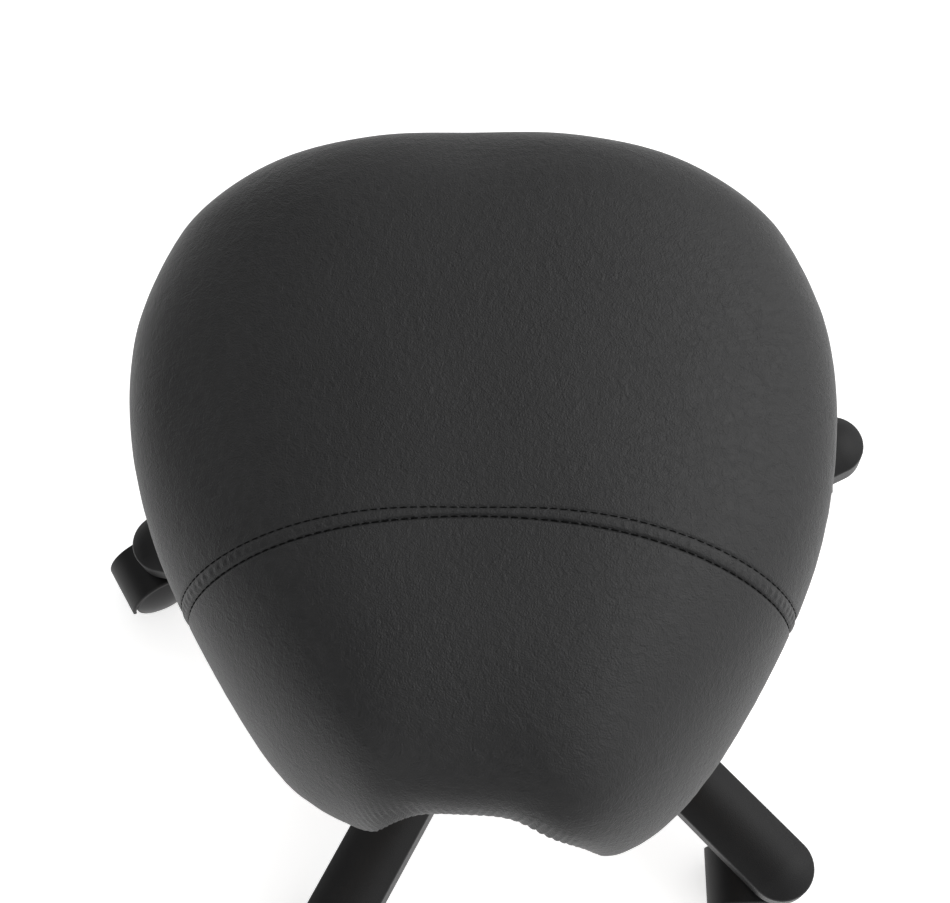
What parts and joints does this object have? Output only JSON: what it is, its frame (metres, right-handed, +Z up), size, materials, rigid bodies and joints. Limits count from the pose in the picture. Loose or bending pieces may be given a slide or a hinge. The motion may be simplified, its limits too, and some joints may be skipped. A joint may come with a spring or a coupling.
{
  "type": "rolling saddle stool",
  "caption": "Rolling saddle stool: an upholstered saddle seat with a sewn cover on a gas lift, a star base and twin-wheel casters.",
  "frame": {"origin": "on the floor, on the axis of the gas lift", "axes": "+Z up along the gas lift; the pommel of the saddle points along -Y"},
  "size_m": [0.607, 0.5844, 0.4946],
  "materials": {
    "foam": "open-cell moulded foam",
    "cover_vinyl": "black grained upholstery vinyl, satin",
    "plywood": "moulded birch plywood",
    "base_black": "cast, with a fine-grained matte black powder coat",
    "hood_nylon": "fine-grained black nylon",
    "wheel_nylon": "smooth black nylon",
    "bright_steel": "zinc-plated",
    "black_steel": "satin black coat",
    "black_plastic": "black, semi-gloss"
  },
  "bodies": {
    "base": {"base_hub": "base_black", "base_leg_1": "base_black", "base_leg_2": "base_black", "base_leg_3": "base_black", "base_leg_4": "base_black", "base_leg_5": "base_black", "caster_sockets": "bright_steel", "column_floor_plate": "black_steel", "column_guide_bush": "black_plastic", "column_tube": "black_steel", "thrust_bearing": "bright_steel"},
    "lift_rod": {"piston_rod": "bright_steel", "rod_clip": "bright_steel", "piston_head": "bright_steel"},
    "seat": {"pressure_tube": "black_steel", "tube_plug": "black_plastic", "seat_plate": "black_steel", "plate_socket": "black_steel", "plate_bolts": "bright_steel", "t_nuts": "bright_steel", "lever_bracket": "black_steel", "lever_pivot_pin": "bright_steel", "seat_board": "plywood", "seat_foam": "foam", "cover_rear": "cover_vinyl", "cover_front": "cover_vinyl", "cover_staples": "bright_steel"},
    "lever": {"lever_rod": "black_steel", "lever_grip": "black_plastic"},
    "release_button": {"release_pin": "black_plastic"},
    "caster_1": {"caster_hood_1": "hood_nylon", "caster_stem_1": "bright_steel", "caster_axle_1": "bright_steel"},
    "wheel_left_1": {"caster_wheel_left_1": "wheel_nylon"},
    "wheel_right_1": {"caster_wheel_right_1": "wheel_nylon"},
    "caster_2": {"caster_hood_2": "hood_nylon", "caster_stem_2": "bright_steel", "caster_axle_2": "bright_steel"},
    "wheel_left_2": {"caster_wheel_left_2": "wheel_nylon"},
    "wheel_right_2": {"caster_wheel_right_2": "wheel_nylon"},
    "caster_3": {"caster_hood_3": "hood_nylon", "caster_stem_3": "bright_steel", "caster_axle_3": "bright_steel"},
    "wheel_left_3": {"caster_wheel_left_3": "wheel_nylon"},
    "wheel_right_3": {"caster_wheel_right_3": "wheel_nylon"},
    "caster_4": {"caster_hood_4": "hood_nylon", "caster_stem_4": "bright_steel", "caster_axle_4": "bright_steel"},
    "wheel_left_4": {"caster_wheel_left_4": "wheel_nylon"},
    "wheel_right_4": {"caster_wheel_right_4": "wheel_nylon"},
    "caster_5": {"caster_hood_5": "hood_nylon", "caster_stem_5": "bright_steel", "caster_axle_5": "bright_steel"},
    "wheel_left_5": {"caster_wheel_left_5": "wheel_nylon"},
    "wheel_right_5": {"caster_wheel_right_5": "wheel_nylon"}
  },
  "joints": [
    {"name": "seat_swivel", "type": "hinge", "parent": "base", "child": "lift_rod", "pos_m": [0, 0, 0.07], "axis": [0, 0, 1], "continuous": true},
    {"name": "seat_height", "type": "slide", "parent": "lift_rod", "child": "seat", "axis": [0, 0, 1], "range_m": [0, 0.18]},
    {"name": "lever_pull", "type": "hinge", "parent": "seat", "child": "lever", "pos_m": [0.04, 0, 0.3865], "axis": [0, -1, 0], "range_deg": [0, 4]},
    {"name": "button_press", "type": "slide", "parent": "seat", "child": "release_button", "axis": [0, 0, -1], "range_m": [0, 0.003]},
    {"name": "caster_swivel_1", "type": "hinge", "parent": "base", "child": "caster_1", "pos_m": [0.25377, 0.11833, 0.06], "axis": [0, 0, 1], "continuous": true},
    {"name": "wheel_spin_left_1", "type": "hinge", "parent": "caster_1", "child": "wheel_left_1", "pos_m": [0.23185, 0.12025, 0.025], "axis": [-0.0872, -0.9962, 0], "continuous": true},
    {"name": "wheel_spin_right_1", "type": "hinge", "parent": "caster_1", "child": "wheel_right_1", "pos_m": [0.23185, 0.12025, 0.025], "axis": [-0.0872, -0.9962, 0], "continuous": true},
    {"name": "caster_swivel_2", "type": "hinge", "parent": "base", "child": "caster_2", "pos_m": [-0.03412, 0.27791, 0.06], "axis": [0, 0, 1], "continuous": true},
    {"name": "wheel_spin_left_2", "type": "hinge", "parent": "caster_2", "child": "wheel_left_2", "pos_m": [-0.05579, 0.27409, 0.025], "axis": [0.1736, -0.9848, 0], "continuous": true},
    {"name": "wheel_spin_right_2", "type": "hinge", "parent": "caster_2", "child": "wheel_right_2", "pos_m": [-0.05579, 0.27409, 0.025], "axis": [0.1736, -0.9848, 0], "continuous": true},
    {"name": "caster_swivel_3", "type": "hinge", "parent": "base", "child": "caster_3", "pos_m": [-0.27486, 0.05343, 0.06], "axis": [0, 0, 1], "continuous": true},
    {"name": "wheel_spin_left_3", "type": "hinge", "parent": "caster_3", "child": "wheel_left_3", "pos_m": [-0.29391, 0.04243, 0.025], "axis": [0.5, -0.866, 0], "continuous": true},
    {"name": "wheel_spin_right_3", "type": "hinge", "parent": "caster_3", "child": "wheel_right_3", "pos_m": [-0.29391, 0.04243, 0.025], "axis": [0.5, -0.866, 0], "continuous": true},
    {"name": "caster_swivel_4", "type": "hinge", "parent": "base", "child": "caster_4", "pos_m": [-0.13575, -0.24489, 0.06], "axis": [0, 0, 1], "continuous": true},
    {"name": "wheel_spin_left_4", "type": "hinge", "parent": "caster_4", "child": "wheel_left_4", "pos_m": [-0.15642, -0.25242, 0.025], "axis": [0.342, -0.9397, 0], "continuous": true},
    {"name": "wheel_spin_right_4", "type": "hinge", "parent": "caster_4", "child": "wheel_right_4", "pos_m": [-0.15642, -0.25242, 0.025], "axis": [0.342, -0.9397, 0], "continuous": true},
    {"name": "caster_swivel_5", "type": "hinge", "parent": "base", "child": "caster_5", "pos_m": [0.19096, -0.20478, 0.06], "axis": [0, 0, 1], "continuous": true},
    {"name": "wheel_spin_left_5", "type": "hinge", "parent": "caster_5", "child": "wheel_left_5", "pos_m": [0.16896, -0.20478, 0.025], "axis": [0, -1, 0], "continuous": true},
    {"name": "wheel_spin_right_5", "type": "hinge", "parent": "caster_5", "child": "wheel_right_5", "pos_m": [0.16896, -0.20478, 0.025], "axis": [0, -1, 0], "continuous": true}
  ],
  "couplings": [
    {"joint": "button_press", "follows": "lever_pull", "m_per_rad": 0.04}
  ]
}
